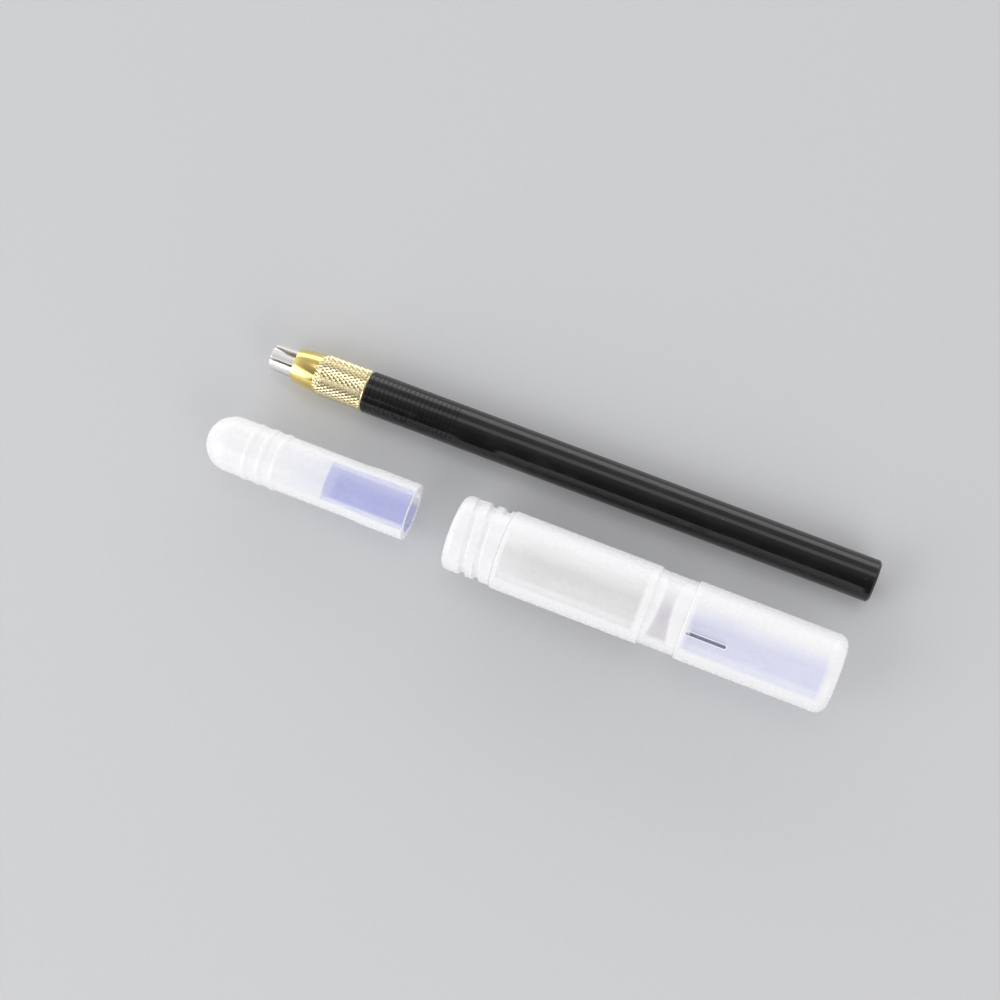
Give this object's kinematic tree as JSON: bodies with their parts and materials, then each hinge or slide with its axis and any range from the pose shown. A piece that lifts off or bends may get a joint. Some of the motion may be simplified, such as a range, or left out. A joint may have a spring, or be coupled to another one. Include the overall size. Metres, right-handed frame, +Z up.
{
  "type": "hobby craft knife",
  "caption": "Pen-shaped craft knife with a knurled collet chuck and a grooved round handle, its push-on blade cap, and a round two-ended case for spare and used blades.",
  "frame": {"origin": "bottom centre of the box round the knife, its cap and its case, on the surface they lie on", "axes": "+X along the three axes, from the knife's tip to its butt; +Y from the blade case to the knife; +Z up"},
  "size_m": [0.1516, 0.0378, 0.0181],
  "materials": {
    "black_handle": "satin black",
    "spring_steel": "spring steel",
    "guide_brass": "turned",
    "sleeve_brass": "polished, knurled",
    "collet_nickel": "nickel-plated, satin",
    "blade_steel": "ground",
    "cap_plastic": "milky translucent",
    "tube_plastic": "milky translucent",
    "collar_plastic": "milky translucent",
    "end_cap_plastic": "opaque white",
    "disposal_plastic": "milky translucent"
  },
  "bodies": {
    "knife_handle": {"handle_barrel": "black_handle", "sleeve_snap_ring": "spring_steel", "collet_guide": "guide_brass"},
    "chuck_sleeve": {"chuck_sleeve": "sleeve_brass"},
    "collet": {"collet": "collet_nickel"},
    "blade": {"blade": "blade_steel"},
    "blade_cap": {"blade_cap": "cap_plastic"},
    "blade_case": {"case_tube": "tube_plastic", "case_collar": "collar_plastic", "spare_blade_01": "blade_steel", "spare_blade_02": "blade_steel", "spare_blade_03": "blade_steel", "spare_blade_04": "blade_steel", "spare_blade_05": "blade_steel", "spare_blade_06": "blade_steel", "spare_blade_07": "blade_steel", "spare_blade_08": "blade_steel", "spare_blade_09": "blade_steel", "spare_blade_10": "blade_steel", "spare_blade_11": "blade_steel", "spare_blade_12": "blade_steel", "spare_blade_13": "blade_steel", "spare_blade_14": "blade_steel", "spare_blade_15": "blade_steel", "spare_blade_16": "blade_steel", "spare_blade_17": "blade_steel", "spare_blade_18": "blade_steel", "spare_blade_19": "blade_steel", "spare_blade_20": "blade_steel", "spare_blade_21": "blade_steel", "spare_blade_22": "blade_steel", "spare_blade_23": "blade_steel", "spare_blade_24": "blade_steel", "spare_blade_25": "blade_steel", "spare_blade_26": "blade_steel", "spare_blade_27": "blade_steel", "spare_blade_28": "blade_steel", "spare_blade_29": "blade_steel", "spare_blade_30": "blade_steel"},
    "end_cap": {"case_end_cap": "end_cap_plastic"},
    "disposal_box": {"disposal_box": "disposal_plastic"}
  },
  "joints": [
    {"name": "sleeve_turn", "type": "hinge", "parent": "knife_handle", "child": "chuck_sleeve", "pos_m": [-0.04615, 0.014, 0.0049], "axis": [1, 0, 0], "range_deg": [0, 540]},
    {"name": "collet_slide", "type": "slide", "parent": "knife_handle", "child": "collet", "axis": [-1, 0, 0], "range_m": [0, 0.0011]},
    {"name": "blade_draw", "type": "slide", "parent": "collet", "child": "blade", "axis": [-1, 0, 0], "range_m": [0, 0.036]},
    {"name": "cap_pick_up", "type": "slide", "parent": "knife_handle", "child": "blade_cap", "axis": [0, 0, 1], "range_m": [0, 0.03]},
    {"name": "case_pick_up", "type": "slide", "parent": "knife_handle", "child": "blade_case", "axis": [0, 0, 1], "range_m": [0, 0.03]},
    {"name": "end_cap_pull", "type": "slide", "parent": "blade_case", "child": "end_cap", "axis": [-1, 0, 0], "range_m": [0, 0.01]},
    {"name": "disposal_pull", "type": "slide", "parent": "blade_case", "child": "disposal_box", "axis": [1, 0, 0], "range_m": [0, 0.02]}
  ],
  "couplings": [
    {"joint": "collet_slide", "follows": "sleeve_turn", "m_per_rad": 0.0001114}
  ]
}
